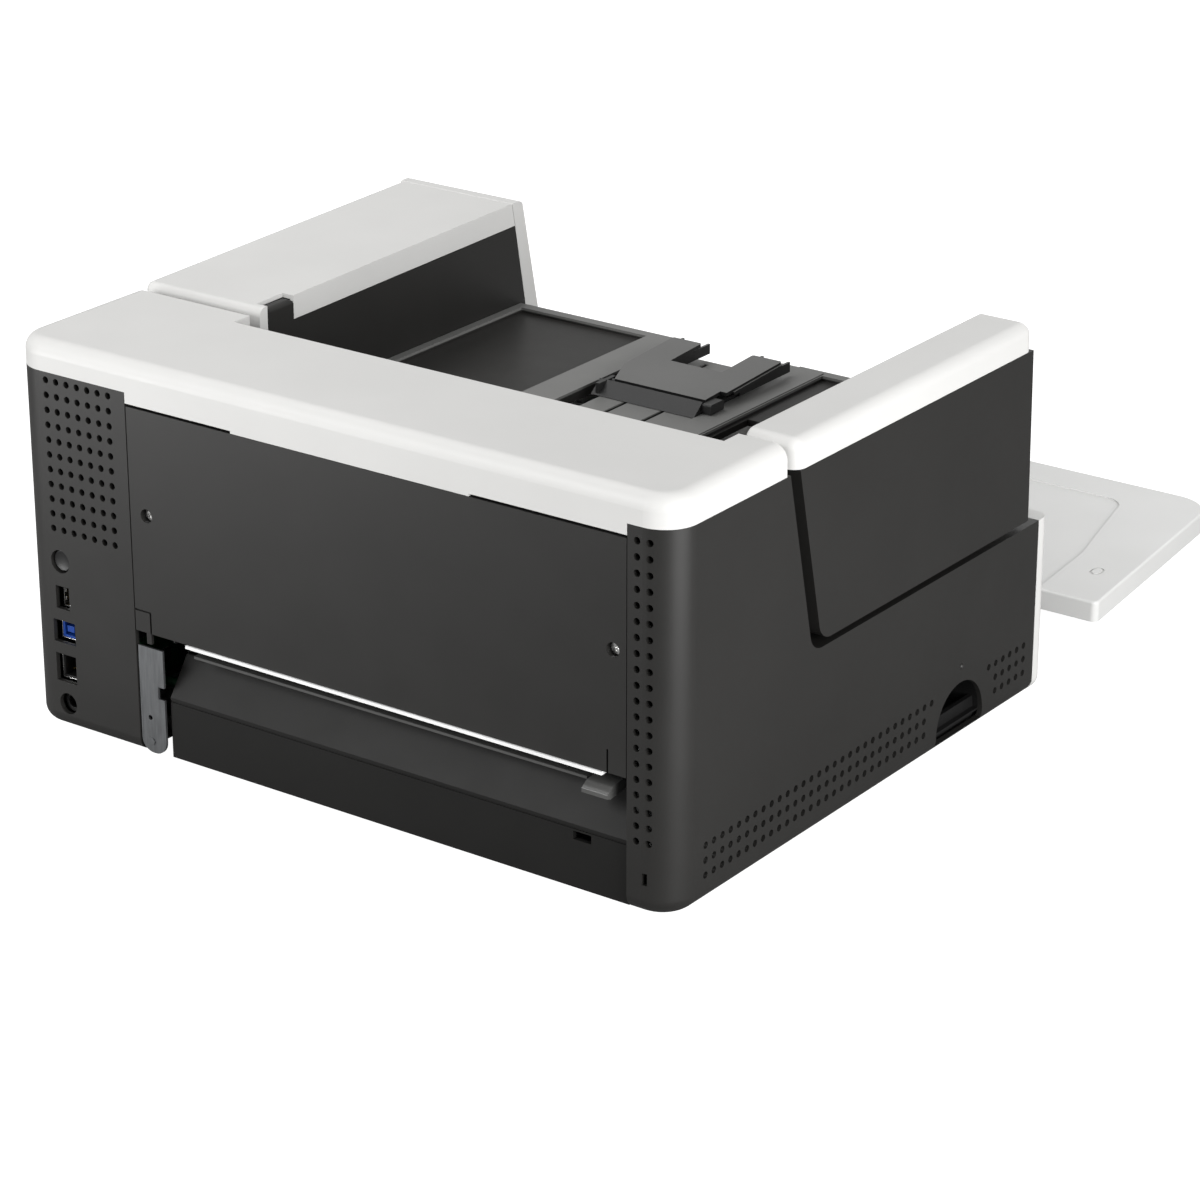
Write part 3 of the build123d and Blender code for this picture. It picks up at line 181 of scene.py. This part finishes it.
def metal(name, colour, roughness, grain_axis=(1.0, 1.0, 1.0), grain=900.0):
    """Bare metal with a fine directional grain."""
    material, tree, shader = new_material(name)
    mapping = tree.nodes.new("ShaderNodeMapping")
    mapping.inputs["Scale"].default_value = grain_axis
    tree.links.new(coordinates(tree), mapping.inputs["Vector"])
    lines = noise(tree, grain, 3.0, mapping.outputs["Vector"])
    colours = blend_colours(tree, lines, tinted(colour, 0.88), tinted(colour, 1.06))
    tree.links.new(colours, shader.inputs["Base Color"])
    tree.links.new(value_range(tree, lines, roughness - 0.08, roughness + 0.12), shader.inputs["Roughness"])
    bump(tree, shader, lines, 0.25, 0.00003)
    shader.inputs["Metallic"].default_value = 1.0
    return material


def rubber(name, colour):
    """Matt rubber with a dusty ground finish."""
    material, tree, shader = new_material(name)
    dust = noise(tree, 420.0, 5.0)
    colours = blend_colours(tree, dust, tinted(colour, 0.8), tinted(colour, 1.35))
    tree.links.new(colours, shader.inputs["Base Color"])
    tree.links.new(value_range(tree, dust, 0.7, 0.9), shader.inputs["Roughness"])
    bump(tree, shader, dust, 0.4, 0.0001)
    return material


def clear_glass(name, tint, through=0.85, roughness=0.02):
    material, tree, shader = new_material(name)
    haze = noise(tree, 60.0, 3.0)
    tree.links.new(value_range(tree, haze, roughness, roughness + 0.05), shader.inputs["Roughness"])
    shader.inputs["Base Color"].default_value = (*tint, 1)
    shader.inputs["Transmission Weight"].default_value = through
    shader.inputs["IOR"].default_value = 1.5
    return material


def lit_tile(name, colour, strength):
    """Part of the display's picture: softly lit, with faint cloudy variation."""
    material, tree, shader = new_material(name)
    glow = mottled(tree, colour, 0.06)
    tree.links.new(glow, shader.inputs["Base Color"])
    tree.links.new(glow, shader.inputs["Emission Color"])
    shader.inputs["Emission Strength"].default_value = strength
    shader.inputs["Roughness"].default_value = 0.2
    return material


# height above which the deck is painted lighter as painted light
DECK_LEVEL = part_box("output_deck")[1].z - 1.6 * MM


def make_materials():
    return {
        "light_grey": moulded_plastic("light_grey", (0.60, 0.597, 0.585), 0.42, mottling=0.015),
        "tray_grey": moulded_plastic("tray_grey", (0.64, 0.64, 0.63), 0.45, mottling=0.015),
        "charcoal": moulded_plastic("charcoal", (0.0155, 0.0150, 0.0141), 0.43, gloss=0.36),
        "base_charcoal": moulded_plastic("base_charcoal", (0.008, 0.0078, 0.0073), 0.5, gloss=0.22),
        # deck_black carries painted light: lighter raised ribs and darker sunk panels as painted shade
        "deck_black": deck_plastic_painted_light("deck_black", (0.020, 0.0195, 0.018), (0.170, 0.170, 0.165), DECK_LEVEL),
        # stop_grey and stop_dark carry painted light: lighter upward faces and darker walls as painted
        # shade
        "stop_grey": faced_plastic_painted_light("stop_grey", (0.135, 0.135, 0.132), (0.012, 0.012, 0.012)),
        "stop_dark": faced_plastic_painted_light("stop_dark", (0.045, 0.045, 0.044), (0.022, 0.022, 0.022)),
        "inner_black": moulded_plastic("inner_black", (0.006, 0.006, 0.006), 0.5, gloss=0.25),
        "guide_grey": moulded_plastic("guide_grey", (0.11, 0.11, 0.11), 0.35),
        "lip_white": moulded_plastic("lip_white", (0.85, 0.85, 0.85), 0.2, relief=0.00001),
        "gate_grey": moulded_plastic("gate_grey", (0.075, 0.075, 0.073), 0.24, coat=0.4),
        "sheet_steel": metal("sheet_steel", (0.40, 0.41, 0.41), 0.40, (1.0, 1.0, 0.08)),
        "bracket_steel": metal("bracket_steel", (0.17, 0.175, 0.18), 0.48, (1.0, 1.0, 0.1)),
        "screw_steel": metal("screw_steel", (0.78, 0.78, 0.77), 0.22),
        "gold": metal("gold", (0.85, 0.62, 0.25), 0.25),
        "bush_brass": metal("bush_brass", (0.72, 0.52, 0.25), 0.35),
        "rubber": rubber("rubber", (0.025, 0.025, 0.025)),
        "feed_rubber": rubber("feed_rubber", (0.05, 0.10, 0.16)),
        "glass": clear_glass("glass", (0.80, 0.90, 0.88)),
        "screen": moulded_plastic("screen", (0.006, 0.007, 0.009), 0.12, relief=0.000005, coat=0.6),
        "board_green": moulded_plastic("board_green", (0.012, 0.09, 0.035), 0.35),
        "port_shell": moulded_plastic("port_shell", (0.010, 0.010, 0.010), 0.4),
        "socket_blue": moulded_plastic("socket_blue", (0.010, 0.055, 0.30), 0.3),
        "chip_black": moulded_plastic("chip_black", (0.015, 0.015, 0.016), 0.35),
        "display_back": lit_tile("display_back", (0.05, 0.09, 0.16), 0.5),
        "display_tile": lit_tile("display_tile", (0.16, 0.34, 0.55), 0.9),
        "display_light": lit_tile("display_light", (0.75, 0.80, 0.85), 1.0),
        "display_green": lit_tile("display_green", (0.12, 0.55, 0.25), 1.0),
    }


MATERIALS = make_materials()
OWN_LOOK = {   # finishes apart from their slot's
    "stop_plate": "stop_grey",
    "stop_carriage": "stop_dark",
    "frame_bracket": "bracket_steel",
    "rear_base_cover": "base_charcoal",
}


def smooth(mesh, degrees):
    """Smooth shading that keeps edges sharper than the angle."""
    mesh.polygons.foreach_set("use_smooth", [True] * len(mesh.polygons))
    mesh.set_sharp_from_angle(angle=math.radians(degrees))


def soften(obj, width, segments=2):
    bevel = obj.modifiers.new("soft_edges", "BEVEL")
    bevel.width = width
    bevel.segments = segments
    bevel.limit_method = "ANGLE"
    bevel.angle_limit = math.radians(40)


def dress_cad():
    """Gives every CAD node its material and soft edges."""
    slots = {row["node"]: row["material_slot"] for row in frame["record"]["subparts"]}
    for node, obj in frame["nodes"].items():
        obj.data.materials.clear()
        obj.data.materials.append(MATERIALS[OWN_LOOK.get(node, slots[node])])
        soften(obj, 0.4 * MM)


dress_cad()


# ---- mesh pieces --------------------------------------------------------------------------
class Piece:
    """A mesh put together from shaped solids, each with its own finish. Sizes are in metres."""

    def __init__(self, name, body, slot):
        self.name, self.body, self.slot = name, body, slot
        self.mesh = bmesh.new()
        self.finishes = []

    def paint(self, verts, finish):
        if finish not in self.finishes:
            self.finishes.append(finish)
        for face in {face for vert in verts for face in vert.link_faces}:
            face.material_index = self.finishes.index(finish)

    def box(self, low, high, finish, turn=None):
        low, high = Vector(low), Vector(high)
        place = Matrix.Translation((low + high) / 2) @ Matrix.Diagonal((*(high - low), 1.0))
        verts = bmesh.ops.create_cube(self.mesh, size=1.0, matrix=place)["verts"]
        if turn:
            bmesh.ops.transform(self.mesh, matrix=turn, verts=verts)
        self.paint(verts, finish)

    def rod(self, start, end, radius, finish, segments=40):
        """Round bar, or a prism with few segments."""
        start, end = Vector(start), Vector(end)
        aim = (end - start).to_track_quat("Z", "Y").to_matrix().to_4x4()
        verts = bmesh.ops.create_cone(
            self.mesh, cap_ends=True, segments=segments, radius1=radius, radius2=radius,
            depth=(end - start).length, matrix=Matrix.Translation((start + end) / 2) @ aim,
        )["verts"]
        self.paint(verts, finish)

    def frame_y(self, low, high, wall, finish):
        """Rectangular sleeve, open towards +Y and -Y."""
        x0, y0, z0 = low
        x1, y1, z1 = high
        self.box((x0, y0, z0), (x0 + wall, y1, z1), finish)
        self.box((x1 - wall, y0, z0), (x1, y1, z1), finish)
        self.box((x0 + wall, y0, z0), (x1 - wall, y1, z0 + wall), finish)
        self.box((x0 + wall, y0, z1 - wall), (x1 - wall, y1, z1), finish)

    def ring_y(self, x, y_ends, z, outer, inner, finish, segments=48):
        """Ring along Y between the two ends."""
        loops = []
        for y in y_ends:
            for radius in (outer, inner):
                turns = [2 * math.pi * k / segments for k in range(segments)]
                points = [(x + radius * math.cos(turn), y, z + radius * math.sin(turn)) for turn in turns]
                loops.append([self.mesh.verts.new(point) for point in points])
        back_outer, back_inner, front_outer, front_inner = loops
        around = (back_outer, back_inner, front_inner, front_outer)
        faces = []
        for side, first in enumerate(around):
            second = around[(side + 1) % len(around)]
            for k in range(segments):
                n = (k + 1) % segments
                faces.append(self.mesh.faces.new((first[k], first[n], second[n], second[k])))
        bmesh.ops.recalc_face_normals(self.mesh, faces=faces)
        self.paint([vert for loop in loops for vert in loop], finish)

    def done(self, edge=0.15 * MM, replaces=()):
        data = bpy.data.meshes.new(self.name)
        self.mesh.to_mesh(data)
        self.mesh.free()
        for finish in self.finishes:
            data.materials.append(MATERIALS[finish])
        smooth(data, 35)
        obj = bpy.data.objects.new(self.name, data)
        bpy.context.scene.collection.objects.link(obj)
        soften(obj, edge)
        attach(obj, self.body)
        if replaces:
            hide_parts(*replaces)
        return obj


# ---- rear sockets -------------------------------------------------------------------------
def placer(mid, mouth, level):
    """Gives points in millimetres from a socket: to the side, into its mouth and up from its level."""
    def at(side, depth, up):
        return mid + side * MM, mouth - depth * MM, level + up * MM
    return at


def usb_a_socket(piece, at):
    """Upright socket with a tongue, its four contacts and two latch springs."""
    piece.frame_y(at(-3.2, 14, -13.4), at(3.2, 0, 0), 0.5 * MM, "screw_steel")
    piece.box(at(-3.0, 14, -13.2), at(3.0, 13, -0.2), "port_shell")
    piece.box(at(-2.2, 13, -12.3), at(-0.4, 1.5, -1.1), "port_shell")
    for k in range(4):
        up = -3.0 - 2.5 * k
        piece.box(at(-0.42, 10, up - 0.5), at(-0.25, 2.4, up + 0.5), "gold")
    for up in (-4.2, -9.2):
        piece.box(at(2.3, 7, up - 1.0), at(2.65, 1.2, up + 1.0), "screw_steel")


def usb_b_socket(piece, at):
    """Square socket with a blue liner and tongue."""
    piece.frame_y(at(-6.0, 16, 0), at(6.0, 0, 11.9), 0.5 * MM, "screw_steel")
    piece.frame_y(at(-5.4, 15.5, 0.6), at(5.4, 0.4, 11.3), 1.3 * MM, "socket_blue")
    piece.box(at(-5.2, 16, 0.8), at(5.2, 8, 11.1), "socket_blue")
    piece.box(at(-2.7, 8, 3.9), at(2.7, 0.9, 7.7), "socket_blue")


def network_socket(piece, at):
    """Tall socket with eight sprung contacts."""
    piece.frame_y(at(-7.2, 18, 0), at(7.2, 0, 16.4), 0.5 * MM, "screw_steel")
    piece.frame_y(at(-6.6, 17.5, 0.6), at(6.6, 0.6, 15.8), 1.0 * MM, "port_shell")
    piece.box(at(-6.4, 18, 0.8), at(6.4, 14, 15.6), "port_shell")
    for k in range(8):
        side = (k - 3.5) * 1.02
        piece.rod(at(side, 14.5, 2.2), at(side, 5, 4.6), 0.23 * MM, "gold", segments=10)


def power_socket(piece, at):
    """Round inlet with its centre pin."""
    bore = 3.9 * MM
    for radius, deep, shallow in ((6.0, 13.0, 0.0), (4.6, 12.4, 0.84)):
        x, rear, z = at(0, deep, 0)
        front = at(0, shallow, 0)[1]
        piece.ring_y(x, (rear, front), z, radius * MM, bore, "port_shell")
    piece.rod(at(0, 13, 0), at(0, 11.8, 0), 5.8 * MM, "port_shell")
    piece.rod(at(0, 12, 0), at(0, 2.2, 0), 1.1 * MM, "screw_steel", segments=24)


def make_sockets():
    """USB-A, USB-B, network and power sockets with their shells, tongues and contacts."""
    low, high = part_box("rear_sockets")
    mid, mouth = high.x - 7.2 * MM, high.y
    piece = Piece("sockets", "body", "port_shell")
    usb_a_socket(piece, placer(mid, mouth, high.z))
    usb_b_socket(piece, placer(mid, mouth, low.z + 45.7 * MM))
    network_socket(piece, placer(mid, mouth, low.z + 20.3 * MM))
    power_socket(piece, placer(mid, mouth, low.z + 6.0 * MM))
    piece.done(0.1 * MM, ["rear_sockets"])


make_sockets()


# ---- touch screen -------------------------------------------------------------------------
SCREEN_LEAN = math.radians(12.1)
SCREEN_HEIGHT = 58 * MM      # along the sloping face
SCREEN_EDGE = 5 * MM         # black rim round the picture
TILE, TILE_GAP = 18 * MM, 3 * MM


def make_display():
    """Touch screen: a glass slab and its lit picture of six tiles, all in the sloping face."""
    low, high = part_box("touch_screen")
    turn = Matrix.Translation((low + high) / 2) @ Matrix.Rotation(-SCREEN_LEAN, 4, "X")
    half_w, half_h = (high.x - low.x) / 2, SCREEN_HEIGHT / 2
    left, foot = SCREEN_EDGE - half_w, SCREEN_EDGE - half_h
    face = -1.5 * MM
    piece = Piece("display", "access_cover", "screen")

    def layer(x0, z0, x1, z1, out, back, finish):
        piece.box((x0, face - out * MM, z0), (x1, face - back * MM, z1), finish, turn)

    piece.box((-half_w, face, -half_h), (half_w, -face, half_h), "screen", turn)
    layer(left, foot, -left, -foot, 0.10, 0.0, "display_back")
    for column in range(3):
        for row in range(2):
            x = left + 4.5 * MM + column * (TILE + TILE_GAP)
            z = foot + 3 * MM + row * (TILE + TILE_GAP)
            layer(x, z, x + TILE, z + TILE, 0.2, 0.05, "display_tile")
            glyph = "display_green" if (column, row) == (2, 0) else "display_light"
            inset = (5.5 + column) * MM
            layer(x + inset, z + 5 * MM, x + TILE - inset, z + TILE - 4 * MM, 0.3, 0.15, glyph)
    layer(left + 4.5 * MM, -foot - 4 * MM, -left - 20 * MM, -foot - 2.2 * MM, 0.2, 0.05, "display_light")
    piece.done(0.12 * MM, ["touch_screen"])


make_display()


# ---- inner detail -------------------------------------------------------------------------
def chip(piece, face, y, z, half):
    """Chip on the board's inner face, with its legs showing above and below."""
    tall = half * 0.8
    piece.box((face - 1.6 * MM, y - half, z - tall), (face, y + half, z + tall), "chip_black")
    for k in range(6):
        leg = y - tall + k * half * 0.32
        foot, head = z - tall - 1 * MM, z + tall + 1 * MM
        piece.box((face - 0.6 * MM, leg, foot), (face, leg + 0.5 * MM, head), "screw_steel")


def make_board_parts():
    """Chips and capacitors on the inner face of the circuit board."""
    low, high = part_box("rear_sockets")
    face = low.x - 1.6 * MM
    board_rear, board_low = high.y - 4 * MM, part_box("main_board")[0].z
    piece = Piece("board_parts", "body", "port_shell")
    for column in range(5):
        for row in range(3):
            half = (5 + (column * 2 + row) % 4 * 1.5) * MM
            chip(piece, face, board_rear - (12 + 25 * column) * MM, board_low + (12 + 26 * row) * MM, half)
    for k in range(7):
        y, z = board_rear - (6 + 18 * k) * MM, board_low + 80 * MM
        can, cap = face - 8 * MM, face - 8.3 * MM
        piece.rod((face, y, z), (can, y, z), 3.2 * MM, "port_shell", segments=28)
        piece.rod((can, y, z), (cap, y, z), 2.9 * MM, "screw_steel", segments=28)
    piece.done(0.2 * MM)


def make_guide_ribs():
    """Low ribs that carry the sheet over the lower guide, behind and before its openings."""
    low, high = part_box("lower_paper_guide")
    piece = Piece("guide_ribs", "body", "guide_grey")
    foot, head = high.z - 0.2 * MM, high.z + 0.6 * MM
    for k in range(13):
        x = low.x + (13 + 24 * k) * MM
        for y0, y1 in ((high.y - 95 * MM, high.y - 3 * MM), (low.y + 44 * MM, low.y + 61 * MM)):
            piece.box((x - 0.7 * MM, y0, foot), (x + 0.7 * MM, y1, head), "guide_grey")
    piece.done(0.35 * MM)


BOLTS = ((20, 12), (95, 12), (200, 12), (330, 12), (345, 60), (345, 180), (300, 220))


def make_plate_bolts():
    """Hex bolts along the two steel side plates, on their outer faces."""
    piece = Piece("plate_bolts", "body", "screw_steel")
    for node, out in (("frame_plate_left", -1), ("frame_plate_right", 1)):
        low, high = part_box(node)
        face = low.x if out < 0 else high.x
        for along, up in BOLTS:
            y, z = low.y + along * MM, low.z + up * MM
            head = face + out * 2.2 * MM
            piece.rod((face, y, z), (head, y, z), 3.6 * MM, "screw_steel", segments=6)
            piece.rod((head, y, z), (head + out * 0.5 * MM, y, z), 2.0 * MM, "screw_steel", segments=24)
    piece.done(0.25 * MM)


make_board_parts()
make_guide_ribs()
make_plate_bolts()


# ---- camera, floor and light --------------------------------------------------------------
AZIMUTH, ELEVATION = math.radians(215.83), math.radians(22.36)
DISTANCE = 2.2854    # metres from the camera to the point that it looks at
LENS = 118.08
AIM = Vector((-0.0479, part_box("rear_top_cover")[1].y - 0.1875, 0.0815))


def make_camera():
    """Long lens behind the machine's left rear corner."""
    back = Vector((
        math.sin(AZIMUTH) * math.cos(ELEVATION),
        -math.cos(AZIMUTH) * math.cos(ELEVATION),
        math.sin(ELEVATION),
    ))
    data = bpy.data.cameras.new("camera")
    data.lens = LENS
    data.sensor_width = 36.0
    data.clip_end = 50.0
    camera = bpy.data.objects.new("camera", data)
    camera.location = AIM + back * DISTANCE
    camera.rotation_euler = (-back).to_track_quat("-Z", "Y").to_euler()
    bpy.context.scene.collection.objects.link(camera)
    bpy.context.scene.camera = camera


def area_light(name, offset, size, power):
    """Softbox at an offset from the machine's middle, turned towards it."""
    data = bpy.data.lights.new(name, "AREA")
    data.shape = "RECTANGLE"
    data.size, data.size_y = size
    data.energy = power
    lamp = bpy.data.objects.new(name, data)
    lamp.location = AIM + Vector(offset)
    lamp.rotation_euler = (AIM - lamp.location).to_track_quat("-Z", "Y").to_euler()
    lamp.visible_camera = False
    bpy.context.scene.collection.objects.link(lamp)


def make_floor():
    """Plain floor that looks white and throws only a little light back up."""
    mesh = bpy.data.meshes.new("floor")
    far = 12.0
    corners = [(-far, -far, 0), (far, -far, 0), (far, far, 0), (-far, far, 0)]
    mesh.from_pydata(corners, [], [(0, 1, 2, 3)])
    floor = bpy.data.objects.new("floor", mesh)
    bpy.context.scene.collection.objects.link(floor)
    material, tree, shader = new_material("floor_white")
    greys = blend_colours(tree, noise(tree, 0.8, 1.0), (0.29, 0.29, 0.29), (0.31, 0.31, 0.31))
    tree.links.new(greys, shader.inputs["Base Color"])
    shader.inputs["Roughness"].default_value = 0.8
    shader.inputs["Specular IOR Level"].default_value = 0.0
    shader.inputs["Emission Color"].default_value = (1.0, 1.0, 1.0, 1)
    path = tree.nodes.new("ShaderNodeLightPath")
    tree.links.new(path.outputs["Is Camera Ray"], shader.inputs["Emission Strength"])
    mesh.materials.append(material)


def make_world():
    world = bpy.data.worlds.new("studio")
    world.use_nodes = True
    background = world.node_tree.nodes["Background"]
    background.inputs["Color"].default_value = (1.0, 1.0, 1.0, 1)
    background.inputs["Strength"].default_value = 0.42
    bpy.context.scene.world = world


make_camera()
make_floor()
make_world()
bpy.context.scene.view_settings.view_transform = "Standard"
area_light("left_far", (-2.5, 0.90, 0.70), (1.6, 1.6), 78)
area_light("right_far", (1.2, 2.0, 1.3), (1.2, 1.2), 25)
area_light("front_fill", (0.3, -2.6, 0.7), (1.4, 1.4), 14)
area_light("top", (0.55, -0.10, 1.10), (0.8, 0.8), 5.2)
area_light("left_low", (-0.75, 0.20, 0.02), (0.5, 0.16), 1.8)
area_light("right_low", (0.85, 0.95, 0.04), (0.6, 0.16), 5.0)
